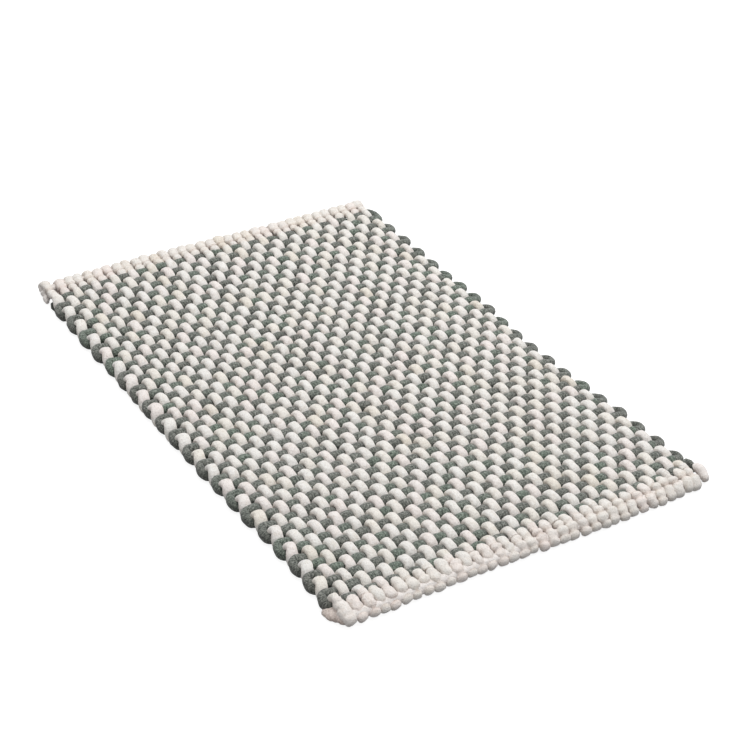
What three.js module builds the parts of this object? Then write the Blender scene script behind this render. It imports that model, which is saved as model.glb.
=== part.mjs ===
import * as THREE from 'three';

// Chunky plain-woven bath mat, lying flat. Millimetres, +X across the mat, +Y to its far end, +Z up.
// The origin is on the floor under the middle of the mat.
// White cords (warp) run along the mat. One grey-green cord (weft) runs back and forth across it.

// Counts of the weave
const warpCount = 35;
const weftRows = 41;

// Heights
const thickness = 24;
const sideHeight = 12;

// The weave is pulled a little uneven by hand. At every eighth row: y of the middle of the row, height of its
// slow wave across the mat, its lean in each metre, and x of the two outermost white cords
const stationRows = 8;
const stations = [
  { y: 404.6, wave: 6.9, lean: 4, left: -277.9, right: 272.4 },
  { y: 224.2, wave: 2.2, lean: 0, left: -278, right: 266.3 },
  { y: 64.9, wave: 4, lean: 16, left: -281.1, right: 264.3 },
  { y: -94.5, wave: 5.1, lean: 22, left: -279.9, right: 258 },
  { y: -252.2, wave: 5.5, lean: 21, left: -273.9, right: 264 },
  { y: -410.9, wave: 3.1, lean: 0, left: -275.9, right: 267.3 },
];
const waveLength = 600;
const waveShift = -26;
const metre = 1000;

// How far the four corners are drawn in, which rounds them
const cornerPull = 4.5;
const cornerX = 285;
const cornerPowers = { across: 8, along: 7 };

// White end borders: the far one ends on a straight line a little out of square, the near one keeps its width
const farEdgeY = 449.4;
const farEdgeSlope = -0.028;
const nearBorderWidth = 40;

// Relief of the weave, as depths under the top of the mat
const depth = { whiteOver: 0, greyOver: 5, betweenRows: 5.5, betweenCords: 9 };

// Relief of an end border, from the last row outwards: share of the border's width, height on a white cord
// and height in the groove between two cords
const borderSteps = [
  { share: 0.3, cord: 23.5, grooveShare: 0.28, groove: 17 },
  { share: 0.66, cord: 23, grooveShare: 0.62, groove: 16 },
  { share: 0.88, cord: 17.5, grooveShare: 0.82, groove: 13 },
  { share: 1, cord: 10, grooveShare: 0.91, groove: 9 },
  { share: 0.92, cord: 0, grooveShare: 0.86, groove: 0 },
];

// Selvedge: how far the side reaches past the outermost groove, plainly and where the grey-green cord turns
const sideReach = 3;
const leftLoopReach = 9.5;
const rightLoopReach = 13.5;
const sideUndercut = 4;

// The grey-green cord turns back at the left after every even row and at the right after every odd one
const firstLeftTurn = 2.5;
const firstRightTurn = 1.5;
const turnRoundness = 0.75;

// Ends of the border cord that stick out at the two near corners
const leftTuftReach = 10;
const rightTuftReach = 17;

const lerp = THREE.MathUtils.lerp;
const warpLast = warpCount - 1;

// A value of the stations at any row, on a smooth curve through them
function stationValue(name, row) {
  const values = stations.map((station) => station[name]);
  const last = values.length - 1;
  const place = (row - 1) / stationRows;
  const low = THREE.MathUtils.clamp(Math.floor(place), 0, last - 1);
  const t = place - low;
  const start = values[low];
  const end = values[low + 1];
  const before = low > 0 ? values[low - 1] : 2 * start - end;
  const after = low + 1 < last ? values[low + 2] : 2 * end - start;
  const bend = 2 * before - 5 * start + 4 * end - after;
  const twist = 3 * start - before - 3 * end + after;
  return start + ((end - before) * t + bend * t ** 2 + twist * t ** 3) / 2;
}

// x of a white cord, counted from 0 at the left; halves are the grooves between cords
function cordX(cord, row) {
  return lerp(stationValue('left', row), stationValue('right', row), cord / warpLast);
}

// y of a grey-green row, counted from 1 at the far end; halves are the lines between rows
function rowY(row, x) {
  const wave = Math.sin((2 * Math.PI * (x + waveShift)) / waveLength);
  const level = stationValue('y', row) - stationValue('wave', row) * wave;
  const along = (2 * (row - 1)) / (weftRows - 1) - 1;
  const corner = cornerPull * (x / cornerX) ** cornerPowers.across * along ** cornerPowers.along;
  return level + (stationValue('lean', row) * x) / metre + corner;
}

const isGroove = (column) => column % 2 === 0;
const columnCord = (column) => (column - 1) / 2;
const columnCount = 2 * warpCount + 1;
const lastColumn = columnCount - 1;

const points = [];
const triangles = [];

function addPoint(x, y, z) {
  points.push(x, y, z);
  return points.length / 3 - 1;
}

function addTriangle(a, b, c) {
  if (a !== b && b !== c && c !== a) triangles.push(a, b, c);
}

// Fan of triangles from a middle point round a ring of points, seen anticlockwise from outside
function addFan(middle, ring) {
  ring.forEach((point, i) => addTriangle(middle, point, ring[(i + 1) % ring.length]));
}

// Lines of points on the woven field: one between every two rows, and one on each row
function weaveLine(row) {
  const onRow = Number.isInteger(row);
  const line = [];
  for (let column = 0; column < columnCount; column += 1) {
    const atSide = column === 0 || column === lastColumn;
    if (onRow && isGroove(column) && !atSide) {
      line.push(null);
      continue;
    }
    const cord = columnCord(column);
    const x = cordX(cord, row);
    let down = isGroove(column) ? depth.betweenCords : depth.betweenRows;
    if (onRow && !isGroove(column)) {
      down = (row + cord) % 2 === 1 ? depth.whiteOver : depth.greyOver;
    }
    line.push(addPoint(x, rowY(row, x), thickness - down));
  }
  return line;
}

const farEdge = (x) => farEdgeY + farEdgeSlope * x;
const nearEdge = (x) => rowY(weftRows, x) - nearBorderWidth;

// Line of points on an end border, at one of its steps
function borderLine(step, row, edgeAt) {
  const line = [];
  for (let column = 0; column < columnCount; column += 1) {
    const groove = isGroove(column);
    const x = cordX(columnCord(column), row);
    const y = lerp(rowY(row, x), edgeAt(x), groove ? step.grooveShare : step.share);
    line.push(addPoint(x, y, groove ? step.groove : step.cord));
  }
  return line;
}

// Strip of triangles between two full lines of points, the first one farther away
function addStrip(far, near) {
  for (let column = 0; column < lastColumn; column += 1) {
    addTriangle(far[column], near[column], near[column + 1]);
    addTriangle(far[column], near[column + 1], far[column + 1]);
  }
}

// All lines from the far floor edge over the top to the near floor edge
const firstLine = 0.5;
const lastLine = weftRows + 0.5;
const farLines = borderSteps.map((step) => borderLine(step, firstLine, farEdge)).reverse();
const weaveLines = [];
for (let row = firstLine; row <= lastLine; row += 0.5) {
  weaveLines.push({ row, line: weaveLine(row) });
}
const nearLines = borderSteps.map((step) => borderLine(step, lastLine, nearEdge));

// Far border
[...farLines, weaveLines[0].line].forEach((line, i, all) => {
  if (i > 0) addStrip(all[i - 1], line);
});

// Woven field: one low pyramid for each place where a cord shows, high where a white cord is on top
for (let i = 1; i < weaveLines.length; i += 2) {
  const far = weaveLines[i - 1].line;
  const middle = weaveLines[i].line;
  const near = weaveLines[i + 1].line;
  for (let column = 1; column < lastColumn; column += 2) {
    const ring = [far[column + 1], far[column], far[column - 1]];
    if (column === 1) ring.push(middle[0]);
    ring.push(near[column - 1], near[column], near[column + 1]);
    if (column === lastColumn - 1) ring.push(middle[lastColumn]);
    addFan(middle[column], ring);
  }
}

// Near border
[weaveLines[weaveLines.length - 1].line, ...nearLines].forEach((line, i, all) => {
  if (i > 0) addStrip(all[i - 1], line);
});

// How far a side reaches out at a row: round humps where the grey-green cord turns back
function loopShare(row, firstTurn) {
  return (0.5 + 0.5 * Math.cos(Math.PI * (row - firstTurn))) ** turnRoundness;
}

function leftReach(row) {
  return lerp(sideReach, leftLoopReach, loopShare(row, firstLeftTurn));
}

function rightReach(row) {
  return lerp(sideReach, rightLoopReach, loopShare(row, firstRightTurn));
}

// Side of the mat, as three lines of points: the top edge, the middle of the side and the floor edge
function sideLines(column, outward, reachAtRow, tuftReach) {
  const reaches = [];
  const top = [];
  farLines.forEach((line) => {
    top.push(line[column]);
    reaches.push(sideReach);
  });
  weaveLines.forEach(({ row, line }) => {
    top.push(line[column]);
    reaches.push(reachAtRow(row));
  });
  nearLines.forEach((line) => {
    top.push(line[column]);
    reaches.push(tuftReach);
  });
  const middle = [];
  const floor = [];
  const last = top.length - 1;
  top.forEach((point, i) => {
    const x = points[3 * point];
    const y = points[3 * point + 1];
    if (i === 0 || i === last) {
      middle.push(point);
      floor.push(point);
    } else if (i === 1 || i === last - 1) {
      middle.push(point);
      floor.push(top[i === 1 ? 0 : last]);
    } else {
      middle.push(addPoint(x + outward * reaches[i], y, sideHeight));
      floor.push(addPoint(x + outward * (reaches[i] - sideUndercut), y, 0));
    }
  });
  return { top, middle, floor };
}

function addSide(upper, lower, outward) {
  for (let i = 0; i < upper.length - 1; i += 1) {
    const quad = [upper[i], upper[i + 1], lower[i + 1], lower[i]];
    if (outward < 0) quad.reverse();
    addTriangle(quad[0], quad[1], quad[2]);
    addTriangle(quad[0], quad[2], quad[3]);
  }
}

const left = sideLines(0, -1, leftReach, leftTuftReach);
const right = sideLines(lastColumn, 1, rightReach, rightTuftReach);
addSide(left.top, left.middle, -1);
addSide(left.middle, left.floor, -1);
addSide(right.top, right.middle, 1);
addSide(right.middle, right.floor, 1);

// Underside: one flat face on the floor, inside the ring of floor points
const nearFloor = nearLines[nearLines.length - 1];
const farFloor = farLines[0];
const floorRing = [
  ...left.floor.slice(1, -1),
  ...nearFloor,
  ...[...right.floor].reverse().slice(1, -1),
  ...[...farFloor].reverse(),
].filter((point, i, ring) => point !== ring[(i + 1) % ring.length]);
const floorOutline = floorRing.map((point) => new THREE.Vector2(points[3 * point], points[3 * point + 1]));
THREE.ShapeUtils.triangulateShape(floorOutline, []).forEach(([a, b, c]) => {
  addTriangle(floorRing[a], floorRing[c], floorRing[b]);
});

const matShape = new THREE.BufferGeometry();
matShape.setAttribute('position', new THREE.Float32BufferAttribute(points, 3));
matShape.setIndex(triangles);
matShape.computeVertexNormals();

const whiteCotton = new THREE.MeshStandardMaterial({ color: 0xe9e4de, roughness: 0.95, metalness: 0 });
const mat = new THREE.Mesh(matShape, whiteCotton);
mat.name = 'woven_mat';

const bathMat = new THREE.Group();
bathMat.add(mat);

export default bathMat;
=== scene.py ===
import math

import bpy
import numpy as np
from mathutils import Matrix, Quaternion, Vector


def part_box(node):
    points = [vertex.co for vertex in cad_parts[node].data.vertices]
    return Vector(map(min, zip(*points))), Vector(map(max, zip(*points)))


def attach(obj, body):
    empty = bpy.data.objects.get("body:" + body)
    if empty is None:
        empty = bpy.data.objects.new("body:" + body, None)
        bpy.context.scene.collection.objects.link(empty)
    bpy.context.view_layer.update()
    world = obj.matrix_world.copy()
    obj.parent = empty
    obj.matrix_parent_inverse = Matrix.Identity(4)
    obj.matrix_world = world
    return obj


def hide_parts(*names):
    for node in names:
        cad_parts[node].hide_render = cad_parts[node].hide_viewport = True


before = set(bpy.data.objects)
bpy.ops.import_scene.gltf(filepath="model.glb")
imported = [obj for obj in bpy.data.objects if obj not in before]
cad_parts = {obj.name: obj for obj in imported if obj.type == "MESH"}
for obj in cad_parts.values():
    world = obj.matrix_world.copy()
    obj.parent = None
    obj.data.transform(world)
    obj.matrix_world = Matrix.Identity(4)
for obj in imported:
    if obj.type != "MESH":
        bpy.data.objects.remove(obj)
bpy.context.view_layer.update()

# Camera
# The mat is seen from beyond its near left corner, from well above the floor, through a long lens.
# The picture is turned a little, as if the camera were held slightly off level.
camera_place = Vector((-1.1755, -1.8285, 1.470))
camera_target = Vector((0.0203, -0.0260, 0.024))
camera_roll = math.radians(2.03)

camera_data = bpy.data.cameras.new("camera")
camera_data.lens = 87.45
camera_data.sensor_width = 36
camera = bpy.data.objects.new("camera", camera_data)
camera.rotation_mode = "QUATERNION"
camera.location = camera_place
level_view = (camera_target - camera_place).to_track_quat("-Z", "Y")
camera.rotation_quaternion = level_view @ Quaternion((0, 0, 1), camera_roll)
bpy.context.scene.collection.objects.link(camera)
bpy.context.scene.camera = camera

# Floor and light
# The mat lies on a plain white studio sweep. Even light falls from all of the sky, with little of it
# sent back from below, and one large soft lamp hangs over the far right half of the mat.
floor_half = 12
floor_drop = 0.0004
floor_glow = 0.86
sky_blend = 0.15
sky_below, sky_above = 0.2, 0.68
lamp_place = Vector((0.9, 0.2, 3.2))

floor_corners = [
    (x * floor_half, y * floor_half, -floor_drop) for x, y in ((-1, -1), (1, -1), (1, 1), (-1, 1))
]
floor_mesh = bpy.data.meshes.new("floor")
floor_mesh.from_pydata(floor_corners, [], [(0, 1, 2, 3)])
floor = bpy.data.objects.new("floor", floor_mesh)
bpy.context.scene.collection.objects.link(floor)
floor.visible_diffuse = False

floor_paint = bpy.data.materials.new("white_studio_floor")
floor_paint.use_nodes = True
floor_surface = floor_paint.node_tree.nodes["Principled BSDF"]
floor_surface.inputs["Base Color"].default_value = (0.3, 0.3, 0.3, 1)
floor_surface.inputs["Emission Color"].default_value = (1, 1, 1, 1)
floor_surface.inputs["Emission Strength"].default_value = floor_glow
floor_surface.inputs["Roughness"].default_value = 0.9
floor_surface.inputs["Specular IOR Level"].default_value = 0.1
floor_mesh.materials.append(floor_paint)

sky = bpy.data.worlds.new("even_light")
sky.use_nodes = True
sky_nodes, sky_links = sky.node_tree.nodes, sky.node_tree.links
sky_height = sky_nodes.new("ShaderNodeSeparateXYZ")
sky_links.new(sky_nodes.new("ShaderNodeTexCoord").outputs["Generated"], sky_height.inputs[0])
sky_shade = sky_nodes.new("ShaderNodeMapRange")
sky_shade.inputs["From Min"].default_value = -sky_blend
sky_shade.inputs["From Max"].default_value = sky_blend
sky_shade.inputs["To Min"].default_value = sky_below
sky_shade.inputs["To Max"].default_value = sky_above
sky_links.new(sky_height.outputs["Z"], sky_shade.inputs["Value"])
sky_nodes["Background"].inputs["Color"].default_value = (1, 1, 1, 1)
sky_links.new(sky_shade.outputs[0], sky_nodes["Background"].inputs["Strength"])
bpy.context.scene.world = sky

lamp_data = bpy.data.lights.new("soft_lamp", "AREA")
lamp_data.shape = "SQUARE"
lamp_data.size = 2.2
lamp_data.energy = 80
lamp_data.color = (1, 0.99, 0.975)
lamp = bpy.data.objects.new("soft_lamp", lamp_data)
lamp.rotation_mode = "QUATERNION"
lamp.location = lamp_place
lamp.rotation_quaternion = (-lamp_place).to_track_quat("-Z", "Y")
bpy.context.scene.collection.objects.link(lamp)

bpy.context.scene.view_settings.view_transform = "Standard"

# White cords
# Thirty-five thick cords of soft felted cotton run the length of the mat, each over one row of the
# grey-green cord and under the next. At both ends they are folded down over a border cord and tucked
# back under. Lengths of the weave are in millimetres; rows and cords count from the far left corner.
mm = 0.001
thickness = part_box("woven_mat")[1].z / mm
mid_height = thickness / 2

warp_count = 35
warp_last = warp_count - 1
weft_rows = 41
far_edge_y, far_edge_slope = 449.4, -0.028
near_border = 40

# The weave is pulled a little uneven by hand. At every eighth row: y of the middle of the row, the height
# of its slow wave across the mat, how far it leans in each metre, and x of the two outermost cords.
stations = [
    {"y": 404.6, "wave": 6.9, "lean": 4, "left": -277.9, "right": 272.4},
    {"y": 224.2, "wave": 2.2, "lean": 0, "left": -278.0, "right": 266.3},
    {"y": 64.9, "wave": 4.0, "lean": 16, "left": -281.1, "right": 264.3},
    {"y": -94.5, "wave": 5.1, "lean": 22, "left": -279.9, "right": 258.0},
    {"y": -252.2, "wave": 5.5, "lean": 21, "left": -273.9, "right": 264.0},
    {"y": -410.9, "wave": 3.1, "lean": 0, "left": -275.9, "right": 267.3},
]
station_rows = 8
wave_length, wave_shift = 600, -26
corner_pull, corner_x = 4.5, 285
corner_power_across, corner_power_along = 8, 7


def lerp(a, b, share):
    return a + (b - a) * share


def station_value(name, row):
    """A value of the stations at any row, on a smooth curve through them."""
    values = [station[name] for station in stations]
    values = np.array([2 * values[0] - values[1], *values, 2 * values[-1] - values[-2]])
    place = (np.asarray(row, float) - 1) / station_rows
    low = np.clip(np.floor(place).astype(int), 0, len(stations) - 2)
    t = place - low
    before, start, end, after = (values[low + step] for step in range(4))
    bend = 2 * before - 5 * start + 4 * end - after
    twist = 3 * start - before - 3 * end + after
    return (2 * start + (end - before) * t + bend * t**2 + twist * t**3) / 2


def cord_x(cord, row):
    """x of a white cord at a row."""
    return lerp(station_value("left", row), station_value("right", row), cord / warp_last)


def corner_y(row, x):
    """How far the four corners are drawn in, which rounds them."""
    along = 2 * (row - 1) / (weft_rows - 1) - 1
    return corner_pull * (x / corner_x) ** corner_power_across * along**corner_power_along


def row_y(row, x):
    """y of a row of the grey-green cord at x. Halves are the lines between rows."""
    wave = np.sin(2 * np.pi * (x + wave_shift) / wave_length)
    level = station_value("y", row) - station_value("wave", row) * wave
    return level + station_value("lean", row) * x * mm + corner_y(row, x)


def eased(values, at):
    """Value at a place between whole numbers, easing from each to the next."""
    low = np.clip(np.floor(at).astype(int), 0, len(values) - 2)
    part = np.clip(at - low, 0, 1)
    return lerp(values[low], values[low + 1], part * part * (3 - 2 * part))


def curve_through(rows, steps):
    """Smooth curve through a table of rows, without its first and last row, which only steer it."""
    rows = np.asarray(rows, float)
    t = (np.arange(steps) / steps)[:, None]
    pieces = []
    for before, start, end, after in zip(rows, rows[1:], rows[2:], rows[3:]):
        leave, arrive = (end - before) / 2, (after - start) / 2
        pieces.append(
            start
            + leave * t
            + (3 * (end - start) - 2 * leave - arrive) * t**2
            + (leave + arrive - 2 * (end - start)) * t**3
        )
    return np.vstack(pieces + [rows[-2:-1]])


def unit(vectors):
    return vectors / np.linalg.norm(vectors, axis=1, keepdims=True)


# A cord's end is rounded by a few rings, at these shares of its half thickness past its last point.
# Its surface is a little lumpy, by a few waves along it, each turned one to three times round it.
cap_steps = np.array([0.98, 0.8, 0.45])
lump_waves, lump_lengths, lump_turns = 5, (7, 24), (1, 4)
# Every cord is painted darker on its underside and lighter on its top: painted shade.
underside_shade = 0.5


def cord_shell(cord, sides, seed):
    """Points and faces of one soft cord: oval rings on its middle line, rounded shut at both ends."""
    dice = np.random.default_rng(seed)
    middle, across = cord["middle"], cord["across"]
    wide, tall, tint, lumpy, shade = (cord[key] for key in ("wide", "tall", "tint", "lumpy", "shade"))
    ahead = unit(np.gradient(middle, axis=0))
    across = unit(across - ahead * (across * ahead).sum(1, keepdims=True))
    upward = np.cross(ahead, across)
    flip = np.sign(upward[len(upward) // 2, 2] or 1)
    upward *= flip
    run = np.concatenate([[0], np.cumsum(np.linalg.norm(np.diff(middle, axis=0), axis=1))])

    cap_size = np.sqrt(1 - cap_steps**2)
    start_cap, end_cap = cap_steps * tall[0] / 2, cap_steps[::-1] * tall[-1] / 2
    swell = np.concatenate([cap_size, np.ones(len(middle)), cap_size[::-1]])

    def capped(values):
        """Values along the cord, repeated for the rings of its two rounded ends."""
        return np.concatenate([values[[0] * len(cap_steps)], values, values[[-1] * len(cap_steps)]])

    start_middle = middle[0] - ahead[0] * start_cap[:, None]
    end_middle = middle[-1] + ahead[-1] * end_cap[:, None]
    middle = np.concatenate([start_middle, middle, end_middle])
    run = np.concatenate([run[0] - start_cap, run, run[-1] + end_cap])
    across, upward, tint, lumpy, shade = (capped(values) for values in (across, upward, tint, lumpy, shade))
    wide, tall = capped(wide) * swell, capped(tall) * swell

    turn = 2 * np.pi * np.arange(sides) / sides
    lumps = np.zeros((len(middle), sides))
    for _ in range(lump_waves):
        length, turns = dice.uniform(*lump_lengths), dice.integers(*lump_turns)
        phase = dice.uniform(0, 2 * np.pi)
        lumps += np.sin(2 * np.pi * run[:, None] / length + turns * turn[None, :] + phase)
    lumps = 1 + lumpy[:, None] * lumps

    def reach(size, share):
        """How far the rings reach out along one of their two axes. A squareness of 2 is a plain oval."""
        filled = np.sign(share) * np.abs(share) ** (2 / cord["squareness"])
        return (size[:, None] / 2) * filled[None, :] * lumps

    side, rise = reach(wide, np.cos(turn)), reach(tall, np.sin(turn))
    points = middle[:, None] + side[..., None] * across[:, None] + rise[..., None] * upward[:, None]
    # The soft cords lie flat where they touch the floor
    points[..., 2] = points[..., 2].clip(0)

    at = np.arange(len(middle) * sides).reshape(len(middle), sides)
    beside = np.roll(at, -1, axis=1)
    quads = np.stack([at[:-1], beside[:-1], beside[1:], at[1:]], axis=-1).reshape(-1, 4)
    ends = [at[0][::-1], at[-1]]
    if flip < 0:
        quads = quads[:, ::-1]
        ends = [end[::-1] for end in ends]
    return {
        "points": points.reshape(-1, 3),
        "quads": quads,
        "ends": ends,
        "run": np.repeat(run, sides) * mm,
        "tint": np.repeat(tint, sides),
        # Painted shade, darker towards the underside of the cord
        "shade": (shade[:, None] * lerp(underside_shade, 1, (1 + np.sin(turn)) / 2)[None, :]).ravel(),
    }


def cord_object(name, cords, sides, material, seed):
    """One object from several cords. Each point has its way along its cord, its tint and its shade."""
    points, faces, base = [], [], 0
    notes = {"run": [], "tint": [], "shade": []}
    for number, cord in enumerate(cords):
        shell = cord_shell(cord, sides, seed + number)
        points.append(shell["points"])
        faces += (shell["quads"] + base).tolist()
        faces += [(end + base).tolist() for end in shell["ends"]]
        for note, values in notes.items():
            values.append(shell[note])
        base += len(shell["points"])
    mesh = bpy.data.meshes.new(name)
    mesh.from_pydata(np.vstack(points) * mm, [], faces)
    for note, values in notes.items():
        mesh.attributes.new(note, "FLOAT", "POINT").data.foreach_set("value", np.concatenate(values))
    mesh.shade_smooth()
    mesh.materials.append(material)
    made = bpy.data.objects.new(name, mesh)
    bpy.context.scene.collection.objects.link(made)
    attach(made, "root")
    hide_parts("woven_mat")
    return made


# The lumps of a white cord past the last row at an end of the mat: how far out of the border's plain
# width, height of the middle, width, thickness, and how narrow the cord is nipped before the next lump.
# It swells over the border cord, drops to the floor and is tucked under. The near ones differ along the end.
near_plain_width = 37.5
near_left_lumps = [
    # out, height, wide, tall, nip
    (5.0, 15.4, 14.0, 12.8, 1),
    (12.0, 16.8, 15.8, 14.0, 1),
    (18.5, 14.8, 16.0, 14.4, 0.48),
    (29.5, 7.4, 16.0, 14.2, 0.8),
    (19.0, 5.6, 13.0, 10.4, 0.95),
    (7.0, 5.4, 11.0, 9.6, 1),
]
near_right_lumps = [
    # out, height, wide, tall, nip
    (4.0, 15.6, 13.4, 12.4, 1),
    (12.0, 16.8, 15.6, 13.8, 0.55),
    (23.5, 12.8, 15.8, 14.4, 0.9),
    (29.8, 7.4, 15.6, 13.8, 0.8),
    (19.0, 5.6, 13.0, 10.4, 0.95),
    (7.0, 5.4, 11.0, 9.6, 1),
]
near_corner_lumps = [
    # out, height, wide, tall, nip
    (3.0, 16.8, 15.0, 13.4, 1),
    (11.5, 15.6, 18.0, 15.6, 1),
    (21.0, 12.2, 20.0, 17.2, 1),
    (29.5, 9.0, 18.5, 16.8, 1),
    (19.0, 6.0, 14.0, 11.2, 1),
    (7.0, 5.4, 11.0, 9.6, 1),
]
far_plain_width = 49
far_lumps = [
    # out, height, wide, tall, nip
    (9.0, 16.8, 14.8, 12.4, 0.58),
    (22.0, 16.4, 16.0, 13.2, 0.92),
    (34.5, 16.6, 17.0, 13.8, 0.8),
    (42.3, 8.0, 16.0, 13.2, 0.8),
    (33.0, 5.6, 13.0, 10.4, 0.95),
    (20.0, 5.4, 12.0, 10.0, 1),
]

# The far lumps lean to the right as they go out, and those at the far left corner are drawn out and slim.
# A last bead on top needs more room before the lumps, and has a narrow neck.
lean_start = 18
far_lean = {"lean": 5, "stretch": 1, "slimness": 1}
far_corner_lean = {"lean": 1, "stretch": 1.12, "slimness": 0.86}
bead_room = 4
neck_share, neck_rows = 0.7, 0.6
neck_nip, corner_nip = 0.12, 0.3
near_mix_spread = 0.12

# A bead on top of the mat, and the cord where it crosses between two beads
bead_wide, crossing_wide = 13, 15.2
bead_tall = 11
bead_snap = 2
white_squareness = 2.25
over_height = thickness - bead_tall / 2
lumpy_field, lumpy_border = 0.02, 0.032
# How much painted shade darkens the creases where a border lump is nipped
crease_shade = 1.1
border_shade = 0.85
near_tint_least = 0.35

# The outermost cords: which way is outward, how far they swing out where the grey-green cord lets them,
# how far out they stand all along and more at the first row, and how plump they are
edge_cords = {
    0: {"outward": -1, "swing": 4.5, "stand": 1.5, "at_first": 0.5, "plumpness": 1.2},
    warp_last: {"outward": 1, "swing": 1.0, "stand": -1.5, "at_first": 0, "plumpness": 0.86},
}
inner_cord = {"outward": 0, "swing": 0, "stand": 0, "at_first": 0, "plumpness": 1}
swing_lead, swing_sharpness = 0.4, 1.5
settling_rows = 2

# How much the beads and the border lumps differ from one another
side_spread, slip_spread, plump_spread = 0.75, 0.065, 0.055
rise_mean, rise_spread, rise_least, rise_most = -0.3, 0.6, -1.8, 0.5
lump_place_spread, lump_height_spread = 0.6, 0.3
lump_plump_spread, lump_nip_spread = 0.06, 0.08
white_weave_seed = 500

# A cord's line has the columns x, y, height, wide, tall, and then nip or shade
height_end, wide_at, last_at = 3, 3, 5
wide_and_tall = slice(3, 5)
steps_per_row = 7
steps_in_border = 6


def knuckled(lumps):
    """Curve through a table of lumps, each round, and nipped to its share half way to the next."""
    whole = curve_through(lumps, steps_in_border)
    from_lump = np.arange(len(whole)) / steps_in_border
    between = 1 - np.abs(2 * (from_lump % 1) - 1)
    nips = np.array([lump[last_at] for lump in lumps[1:-1]])[from_lump.astype(int)]
    whole[:, wide_and_tall] *= np.sqrt(1 - (1 - nips**2) * between**2)[:, None]
    # The nipped creases are painted in shade
    whole[:, last_at] = 1 - crease_shade * (1 - nips) * between
    return whole


def white_cord(cord):
    """Middle line and size of one white cord, from under the far border to under the near one."""
    dice = np.random.default_rng(white_weave_seed + cord)
    beads = weft_rows + 2
    sideways = dice.normal(0, side_spread, beads)
    slip = dice.normal(0, slip_spread, beads)
    plump = dice.normal(1, plump_spread, beads)
    raised = dice.normal(rise_mean, rise_spread, beads).clip(rise_least, rise_most)
    tint = dice.uniform(0, 1, beads)

    row = np.arange(1, weft_rows + 1e-6, 1 / steps_per_row)
    pace = np.cos(np.pi * (row - eased(slip, row) - cord - 1))
    wave = np.tanh(bead_snap * pace) / np.tanh(bead_snap)
    edge = edge_cords.get(cord, inner_cord)
    settled = ((row - 1) / settling_rows).clip(0, 1)
    swung = ((1 - np.cos(np.pi * (row + swing_lead - cord - 1))) / 2) ** swing_sharpness * settled
    outward = edge["swing"] * swung + edge["stand"] + edge["at_first"] * (1 - settled)
    x = cord_x(cord, row) + eased(sideways, row) + edge["outward"] * outward
    height = mid_height + (over_height - mid_height) * wave + eased(raised, row) * wave.clip(0, 1)
    plumpness = lerp(1, edge["plumpness"], ((weft_rows - row) / settling_rows).clip(0, 1))
    wide = lerp(crossing_wide, bead_wide, wave**2) * eased(plump, row) * plumpness
    tall = np.full_like(row, bead_tall)
    field = np.stack([x, row_y(row, x), height, wide, tall, np.ones_like(row)], axis=1)
    over_first, over_last = wave[0] > 0, wave[-1] > 0

    def border(lumps, plain_width, real_width, over, lean, steer, neck_row):
        """Line of the cord past an end of the field, which begins with the two points that steer it."""
        start_x, start_y = steer[-1][0], steer[-1][1]
        rows = [np.append(end[:last_at], 1) for end in steer]
        for out, height, wide, tall, nip in lumps:
            room = bead_room * max(0, 1 - out / plain_width) if over else 0
            out_now = out + dice.normal(0, lump_place_spread) + room
            sway = lean * max(0, out_now - lean_start) / (plain_width - lean_start)
            plump_now = dice.normal(1, lump_plump_spread)
            rows.append(np.array([
                start_x + sway + dice.normal(0, lump_place_spread),
                start_y + real_width / plain_width * out_now,
                min(height + dice.normal(0, lump_height_spread), thickness - tall * plump_now / 2),
                wide * plump_now,
                tall * plump_now,
                min(1, nip * dice.normal(1, lump_nip_spread)),
            ]))
        if over and cord > 0:
            rows[neck_row][last_at] *= neck_share
        return knuckled(rows + [2 * rows[-1] - rows[-2]])[1:]

    half = steps_per_row // 2 + 1
    far_shape = far_corner_lean if cord == 0 else far_lean
    far_width = (far_edge_y + far_edge_slope * field[0][0] - field[0][1]) * far_shape["stretch"]
    far_steer, near_steer = field[[half, 0]], field[[-1 - half, -1]]
    far = border(far_lumps, far_plain_width, far_width, over_first, far_shape["lean"], far_steer, 1)
    far[:, wide_and_tall] *= far_shape["slimness"]
    rightness = np.clip(cord / warp_last + dice.normal(0, near_mix_spread), 0, 1)
    near_lumps = lerp(np.array(near_left_lumps), np.array(near_right_lumps), rightness)
    if cord == 0:
        near_lumps = np.array(near_corner_lumps)
    near = border(near_lumps, near_plain_width, -near_border, over_last, 0, near_steer, 2)
    if over_last:
        neck = np.clip(1 - (weft_rows - row) / neck_rows, 0, 1)
        field[:, wide_at] *= 1 - (neck_nip if cord > 0 else corner_nip) * neck
    far[:, last_at] *= border_shade
    near[:, last_at] *= border_shade
    whole = np.vstack([far[::-1], field, near])
    parts = [len(far), len(field), len(near)]
    return {
        "middle": whole[:, :height_end],
        "across": np.tile([1.0, 0.0, 0.0], (len(whole), 1)),
        "wide": whole[:, wide_at],
        "tall": whole[:, wide_at + 1],
        "shade": whole[:, last_at],
        "squareness": white_squareness,
        "tint": np.concatenate([
            np.full(len(far), tint[0]),
            tint[np.round(row).astype(int)],
            np.full(len(near), lerp(near_tint_least, 1, tint[-1])),
        ]),
        "lumpy": np.repeat([lumpy_border, lumpy_field, lumpy_border], parts),
    }


def add_node(tree, kind, inputs=None, **settings):
    """A node with its settings, and a value or a link for each named input."""
    node = tree.nodes.new(kind)
    for setting, value in settings.items():
        setattr(node, setting, value)
    for socket, value in (inputs or {}).items():
        if isinstance(value, bpy.types.NodeSocket):
            tree.links.new(value, node.inputs[socket])
        else:
            node.inputs[socket].default_value = value
    return node


def colour_ramp(tree, value, stops):
    """Colours that follow a value from 0 to 1."""
    ramp = add_node(tree, "ShaderNodeValToRGB", {"Fac": value})
    for place, colour in stops[1:-1]:
        ramp.color_ramp.elements.new(place)
    for element, (place, colour) in zip(ramp.color_ramp.elements, stops):
        element.position = place
        element.color = (*colour, 1)
    return ramp.outputs["Color"]


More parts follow.
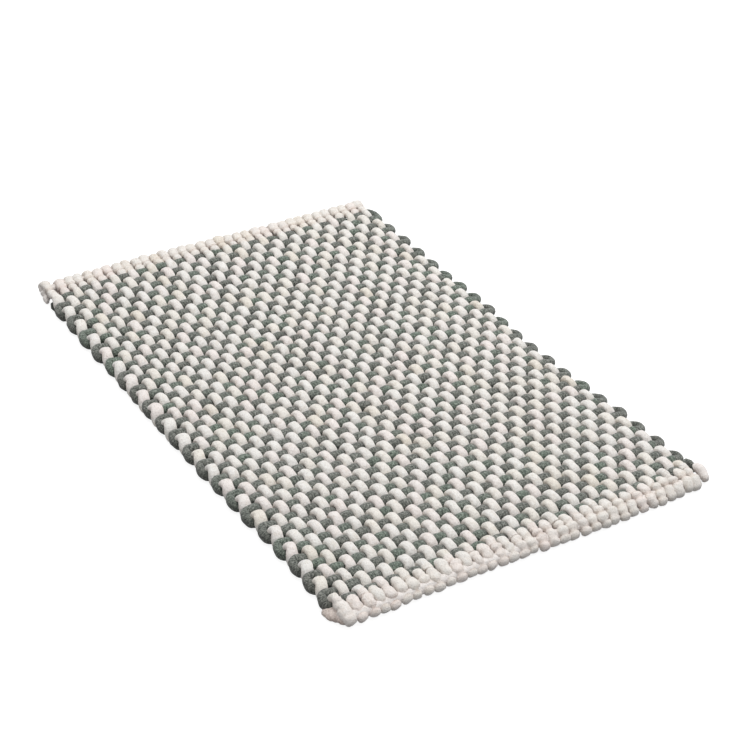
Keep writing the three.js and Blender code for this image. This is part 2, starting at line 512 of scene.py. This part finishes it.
def noise(tree, where, scale, detail=2.0, roughness=0.5):
    """Soft random value from 0 to 1; scale is in waves to the metre."""
    made = add_node(tree, "ShaderNodeTexNoise", {
        "Vector": where, "Scale": scale, "Detail": detail, "Roughness": roughness,
    })
    return made.outputs["Fac"]


def mixed(tree, share, one, other, blend="MIX"):
    """Two colours mixed. The sockets of a mix node for colours go by number."""
    share_in, one_in, other_in, colour_out = 0, 6, 7, 2
    sockets = {share_in: share, one_in: one, other_in: other}
    node = add_node(tree, "ShaderNodeMix", sockets, data_type="RGBA", blend_type=blend)
    return node.outputs[colour_out]


def multiplied(tree, one, other):
    return mixed(tree, 1.0, one, other, "MULTIPLY")


white_cotton = bpy.data.materials.new("felted_white_cotton")
white_cotton.use_nodes = True
tree = white_cotton.node_tree
surface = tree.nodes["Principled BSDF"]
place = add_node(tree, "ShaderNodeTexCoord").outputs["Object"]
bead_tint = add_node(tree, "ShaderNodeAttribute", attribute_name="tint").outputs["Fac"]
bead_shade = add_node(tree, "ShaderNodeAttribute", attribute_name="shade").outputs["Fac"]
bead_colour = colour_ramp(tree, bead_tint, [
    (0.0, (0.77, 0.73, 0.66)),
    (0.06, (0.80, 0.775, 0.725)),
    (0.35, (0.81, 0.795, 0.765)),
    (0.65, (0.80, 0.795, 0.775)),
    (0.85, (0.82, 0.785, 0.765)),
    (1.0, (0.82, 0.77, 0.75)),
])
clouded = multiplied(tree, bead_colour, colour_ramp(tree, noise(tree, place, scale=130, detail=3), [
    (0.3, (0.92, 0.89, 0.86)),
    (0.5, (1, 1, 1)),
    (0.7, (1, 0.98, 0.97)),
]))
fibre_place = add_node(tree, "ShaderNodeMapping", {"Vector": place, "Scale": (1, 0.4, 1)}).outputs["Vector"]
fibre = noise(tree, fibre_place, scale=700, detail=4, roughness=0.65)
fibred = multiplied(tree, clouded, colour_ramp(tree, fibre, [
    (0.34, (0.82, 0.80, 0.785)),
    (0.56, (1, 1, 1)),
]))
# Painted shade: the white is darkened and warmed where the shade value is low, which is on the undersides of
# the cords and in the creases between the border lumps. The same value also gives the border lumps and the
# frayed tuft their duller tone.
soil_and_painted_shade = multiplied(tree, fibred, colour_ramp(tree, bead_shade, [
    (0.15, (0.74, 0.65, 0.60)),
    (0.5, (0.93, 0.88, 0.85)),
    (0.75, (0.99, 0.965, 0.945)),
    (0.95, (1, 1, 1)),
]))
# Dark mottling where the shade value is lowest. On the near left tuft it is the real fray; on the undersides
# of the white cords and in their deepest creases it is painted shade.
fray_and_shade_share = add_node(tree, "ShaderNodeMapRange", {
    "Value": bead_shade, "From Min": 0.6, "From Max": 0.4, "To Min": 0.0, "To Max": 1.0,
}).outputs[0]
mottle = noise(tree, place, scale=420, detail=3, roughness=0.7)
frayed_and_shaded = mixed(tree, fray_and_shade_share, soil_and_painted_shade, multiplied(tree, soil_and_painted_shade, colour_ramp(tree, mottle, [
    (0.36, (0.62, 0.57, 0.55)),
    (0.5, (0.88, 0.85, 0.83)),
    (0.62, (1, 1, 1)),
])))
tree.links.new(frayed_and_shaded, surface.inputs["Base Color"])
felt = noise(tree, place, scale=300, detail=3, roughness=0.6)
felt_bump = add_node(tree, "ShaderNodeBump", {
    "Height": felt, "Strength": 0.75, "Distance": 0.002,
}).outputs["Normal"]
fibre_bump = add_node(tree, "ShaderNodeBump", {
    "Height": fibre, "Strength": 0.8, "Distance": 0.001, "Normal": felt_bump,
}).outputs["Normal"]
tree.links.new(fibre_bump, surface.inputs["Normal"])
surface.inputs["Roughness"].default_value = 0.95
surface.inputs["Specular IOR Level"].default_value = 0.15
surface.inputs["Sheen Weight"].default_value = 0.25
surface.inputs["Sheen Roughness"].default_value = 0.6

white_cords = [white_cord(cord) for cord in range(warp_count)]
left_half = warp_count // 2
white_sides = 14
left_seed, right_seed = 900, 950
white_left = cord_object("white_cords_left", white_cords[:left_half], white_sides, white_cotton, left_seed)
white_right = cord_object("white_cords_right", white_cords[left_half:], white_sides, white_cotton, right_seed)

# Border cords
# A white cord lies across each end of the mat, inside the folded ends of the long cords. Its own ends
# stick out at the corners: a frayed one at the near left, a plump one hanging to the floor at the near
# right, and a thin knotted strand at the far left.
border_cord_thick = 15
border_cord_height = 9
border_inset = 16
border_cord_places, border_cord_steps = 30, 3
loose_steps = 4
loose_tint, loose_squareness = 0.85, 2
frayed_shade = 0.48
along_mat, across_mat = [0.0, 1.0, 0.0], [1.0, 0.0, 0.0]
border_seed = 700


def loose_cord(points, steps, across, shade=1):
    """A white cord through a table of x, y, height, wide and tall, with its width along a direction."""
    whole = curve_through(points, steps)
    return {
        "middle": whole[:, :height_end],
        "across": np.tile(across, (len(whole), 1)),
        "wide": whole[:, wide_at],
        "tall": whole[:, wide_at + 1],
        "squareness": loose_squareness,
        "tint": np.full(len(whole), loose_tint),
        "shade": np.full(len(whole), shade),
        "lumpy": np.full(len(whole), lumpy_border),
    }


def border_cord(edge_y, edge_slope, inward, row):
    """The cord inside a border, from its first to its last white cord."""
    rows = []
    for x in np.linspace(cord_x(0, row), cord_x(warp_last, row), border_cord_places):
        y = edge_y + edge_slope * x + inward * border_inset
        rows.append((x, y, border_cord_height, border_cord_thick, border_cord_thick))
    return loose_cord([rows[0]] + rows + [rows[-1]], border_cord_steps, along_mat)


near_cord = border_cord(row_y(weft_rows, 0) - near_border, 0, 1, weft_rows)
far_cord = border_cord(far_edge_y, far_edge_slope, -1, 1)
near_left_tuft = loose_cord([
    # x, y, height, wide, tall
    (-268, -443, 7, 14, 12),
    (-274, -437, 8, 19, 14),
    (-279.5, -430, 8, 22, 15),
    (-284, -421, 7.2, 22, 13.5),
    (-288.5, -412.5, 5.8, 19, 10.5),
    (-292, -405.5, 4.4, 14, 7.5),
    (-295, -399, 3.4, 8, 5.5),
], loose_steps, along_mat, frayed_shade)
near_right_lump = loose_cord([
    # x, y, height, wide, tall
    (283, -412, 11, 9.5, 10),
    (285.5, -417, 12.5, 12.5, 13),
    (286.5, -423.5, 12.5, 14, 15.5),
    (286.5, -430.5, 10, 13.5, 15.5),
    (285.5, -436.5, 8, 11.5, 13),
    (284.5, -440.5, 6.5, 9, 10),
], loose_steps, across_mat)
far_left_strand = loose_cord([
    # x, y, height, wide, tall
    (-278, 455, 9, 10, 10),
    (-283, 449, 9, 12, 12),
    (-284, 443, 8, 9, 9.5),
    (-285, 436, 7.5, 12, 12.5),
    (-286, 430, 6.5, 8.5, 9),
    (-288, 423, 6, 11, 11),
    (-289.5, 418, 4.4, 7, 7.5),
    (-291, 413, 3.4, 4, 4),
], loose_steps, across_mat)
loose_cords = [near_cord, far_cord, near_left_tuft, near_right_lump, far_left_strand]
border_cords = cord_object("border_cords", loose_cords, white_sides, white_cotton, border_seed)

# Grey-green cord
# One long cord of soft chenille, thinner than the white ones, is laid back and forth across them,
# over one and under the next. At the left it turns back tight round the outermost white cord, and
# at the right in looser loops. Its pile stands in fine ribs round the cord.
weft_over_wide, weft_under_wide = 14.4, 12.4
weft_over_tall, weft_under_tall = 12.4, 10.4
weft_middle, weft_lift = 11.2, 3
weft_snap = 1.5
weft_steps, turn_steps = 5, 3
weft_sides, weft_squareness = 12, 2.2
weft_shade_power = 0.8
weft_seed, weft_lump_seed = 77, 300

# How it turns back, by the share of the way from its row to the next: how far it reaches past the
# outermost white cord, its height, width and thickness
left_turn = [
    # along, out, height, wide, tall
    (-0.10, 3.5, 13.6, 13.0, 12.4),
    (-0.12, 7.4, 12.2, 13.0, 13.4),
    (0.14, 10.0, 10.6, 13.2, 14.2),
    (0.50, 10.4, 8.6, 13.2, 14.2),
    (0.84, 8.4, 7.6, 13.0, 13.0),
    (0.98, 3.4, 7.6, 12.8, 11.4),
]
right_turn = [
    # along, out, height, wide, tall
    (0.17, 5.4, 10.8, 12.0, 11.6),
    (0.30, 10.0, 11.4, 11.6, 11.8),
    (0.56, 14.4, 11.4, 11.6, 12.2),
    (0.86, 14.4, 11.0, 11.6, 12.2),
    (1.08, 10.6, 12.2, 11.8, 12.0),
    (1.07, 5.4, 14.0, 12.6, 12.0),
]
right_reach = max(out for _, out, *_ in right_turn)
turn_steer = 8
# Painted shade along each turn: at the right it goes from darker to lighter, at the left from lighter to
# darker.
turn_under_shade, turn_over_shade = 0.68, 1.0

# The left turns are slacker or tighter along the mat, and the first right one is longer and flatter
left_slack = [
    # row, slack
    (1, 3), (8, 2), (16, -1.5), (24, -1), (31, 5), (36, 1), (40, 3),
]
first_turn_slack, first_turn_start, first_turn_end = -1, -0.7, 1.1

# How much its places and its plumpness differ from one white cord to the next, and its turns
weft_side_spread, weft_along_spread, weft_height_spread = 0.4, 0.5, 0.4
weft_plump_spread, turn_spread = 0.05, 0.9

dice = np.random.default_rng(weft_seed)
weft_places = warp_count + 2
slack_rows, slacks = zip(*left_slack)
line = []
for row in range(1, weft_rows + 1):
    rightward = row % 2 == 1
    at = np.arange(0, warp_last + 1e-6, 1 / weft_steps)
    wave = np.tanh(weft_snap * np.cos(np.pi * (at - row))) / np.tanh(weft_snap)
    over = (1 + wave) / 2
    x = cord_x(at, row) + eased(dice.normal(0, weft_side_spread, weft_places), at)
    y = row_y(row, x) + eased(dice.normal(0, weft_along_spread, weft_places), at)
    z = weft_middle + weft_lift * wave + eased(dice.normal(0, weft_height_spread, weft_places), at)
    plump = eased(dice.normal(1, weft_plump_spread, weft_places), at)
    wide = lerp(weft_under_wide, weft_over_wide, over) * plump
    tall = lerp(weft_under_tall, weft_over_tall, over) * plump
    tint = eased(dice.uniform(0, 1, weft_places), at)
    # Columns: x, y, z, wide, tall, tint, shade. The shade is painted shade: darker where the cord dives under
    # the white cords.
    crossing = np.stack([x, y, z, wide, tall, tint, over**weft_shade_power], axis=1)
    line.append(crossing if rightward else crossing[::-1])
    if row == weft_rows:
        break
    side = 1 if rightward else -1
    start = line[-1][-1]
    start_tint = start[5]
    end_x = cord_x(warp_last if rightward else 0, row + 1)
    end_y = row_y(row + 1, end_x)
    end_z = weft_middle + side * weft_lift
    slack = dice.normal(0, turn_spread) + (0 if rightward else np.interp(row, slack_rows, slacks))
    if row == 1:
        slack = first_turn_slack
    back = np.zeros(len(start))
    back[0] = side * turn_steer
    turn = [start - back, start]
    for along, out, height, wide_now, tall_now in right_turn if rightward else left_turn:
        if row == 1:
            along = lerp(first_turn_start, first_turn_end, along)
        turn.append(np.array([
            lerp(start[0], end_x, along) + side * (out + slack * out / right_reach),
            lerp(start[1], end_y, along),
            height,
            wide_now,
            tall_now,
            start_tint,
            lerp(turn_under_shade, turn_over_shade, along if rightward else 1 - along),
        ]))
    # The turn ends in painted shade where it goes under the outermost white cord, and lit where it goes over.
    end_shade = 1 if rightward else 0
    turn.append(np.array([end_x, end_y, end_z, weft_over_wide, weft_over_tall, start_tint, end_shade]))
    turn.append(turn[-1] - back)
    line.append(curve_through(turn, turn_steps)[1:-1])

# Its start is tucked back along the side in painted shade, and its end curves up and round past the last
# white cord, partly in painted shade
far_left_start = line[0][0] + np.array([
    # x, y, z, wide, tall, tint, shade
    (-7, -20, -5, -8, -6, 0, 0.3),
    (-11, -10, -4.5, -8, -6, 0, 0.3),
    (-12, -2, -4, -8, -6, 0, 0.3),
    (-9, 5, -3, -7, -5, 0, 0.3),
    (-4, 5, -1.5, -4, -3, 0, 0.2),
])
near_right_stub = line[-1][-1] + np.array([
    # x, y, z, wide, tall, tint, shade
    (5, 4, 2.5, -2, 0, 0, 0.6),
    (9, 7, 5.5, -2.5, 0, 0, 0.9),
    (13, 6.5, 7, -3, -0.5, 0, 0.9),
    (15.5, 3, 6.5, -3.5, -0.5, 0, 0.9),
    (16, -1.5, 5, -4, -1, 0, 0.7),
    (15, -6, 2.5, -4.5, -1.5, 0, 0.5),
])
weft = np.vstack([far_left_start, *line, near_right_stub])
weft_heading = np.gradient(weft[:, :2], axis=0)
weft_x, weft_y, weft_z, weft_wide, weft_tall, weft_tint, weft_shade = weft.T
grey_line = {
    "middle": np.column_stack([weft_x, weft_y, weft_z]),
    "across": np.column_stack([-weft_heading[:, 1], weft_heading[:, 0], np.zeros(len(weft))]),
    "wide": weft_wide,
    "tall": weft_tall,
    "squareness": weft_squareness,
    "tint": weft_tint,
    "shade": weft_shade,
    "lumpy": np.full(len(weft), lumpy_field),
}

rib_length, rib_wobble = 0.0034, 0.009
tuft_share = 0.86
grey_chenille = bpy.data.materials.new("grey_green_chenille")
grey_chenille.use_nodes = True
tree = grey_chenille.node_tree
surface = tree.nodes["Principled BSDF"]
place = add_node(tree, "ShaderNodeTexCoord").outputs["Object"]
run_here = add_node(tree, "ShaderNodeAttribute", attribute_name="run").outputs["Fac"]
tint_here = add_node(tree, "ShaderNodeAttribute", attribute_name="tint").outputs["Fac"]
shade_here = add_node(tree, "ShaderNodeAttribute", attribute_name="shade").outputs["Fac"]


def calculated(operation, *values):
    """A math node with its values in order."""
    return add_node(tree, "ShaderNodeMath", dict(enumerate(values)), operation=operation).outputs[0]


wobble = calculated("MULTIPLY", noise(tree, place, scale=190, detail=3), rib_wobble)
rib_turns = calculated("MULTIPLY", calculated("ADD", run_here, wobble), 2 * math.pi / rib_length)
rib = calculated("MULTIPLY_ADD", calculated("SINE", rib_turns), 0.5, 0.5)
pile = mixed(tree, tuft_share, rib, noise(tree, place, scale=430, detail=3, roughness=0.6))
pile_colour = colour_ramp(tree, pile, [
    (0.33, (0.045, 0.052, 0.046)),
    (0.44, (0.11, 0.121, 0.108)),
    (0.55, (0.18, 0.191, 0.172)),
    (0.69, (0.32, 0.33, 0.305)),
])
tinted_pile = multiplied(tree, pile_colour, colour_ramp(tree, tint_here, [
    (0.0, (0.92, 0.9, 0.9)),
    (0.5, (1.0, 1.0, 1.0)),
    (1.0, (0.9, 1.06, 0.97)),
]))
# Painted shade: the pile is darker where the cord dives under the white cords, on its underside, at its
# tucked start and along one arc of each turn, and lighter where it crosses over.
shaded_pile = multiplied(tree, tinted_pile, colour_ramp(tree, shade_here, [
    (0.0, (0.24, 0.24, 0.228)),
    (0.5, (0.48, 0.48, 0.464)),
    (1.0, (1.08, 1.08, 1.08)),
]))
tree.links.new(shaded_pile, surface.inputs["Base Color"])
pile_bump = add_node(tree, "ShaderNodeBump", {
    "Height": pile, "Strength": 1.0, "Distance": 0.0025,
}).outputs["Normal"]
tree.links.new(pile_bump, surface.inputs["Normal"])
surface.inputs["Roughness"].default_value = 0.9
surface.inputs["Specular IOR Level"].default_value = 0.15
surface.inputs["Sheen Weight"].default_value = 0.3
surface.inputs["Sheen Roughness"].default_value = 0.5

grey_cord = cord_object("grey_green_cord", [grey_line], weft_sides, grey_chenille, weft_lump_seed)
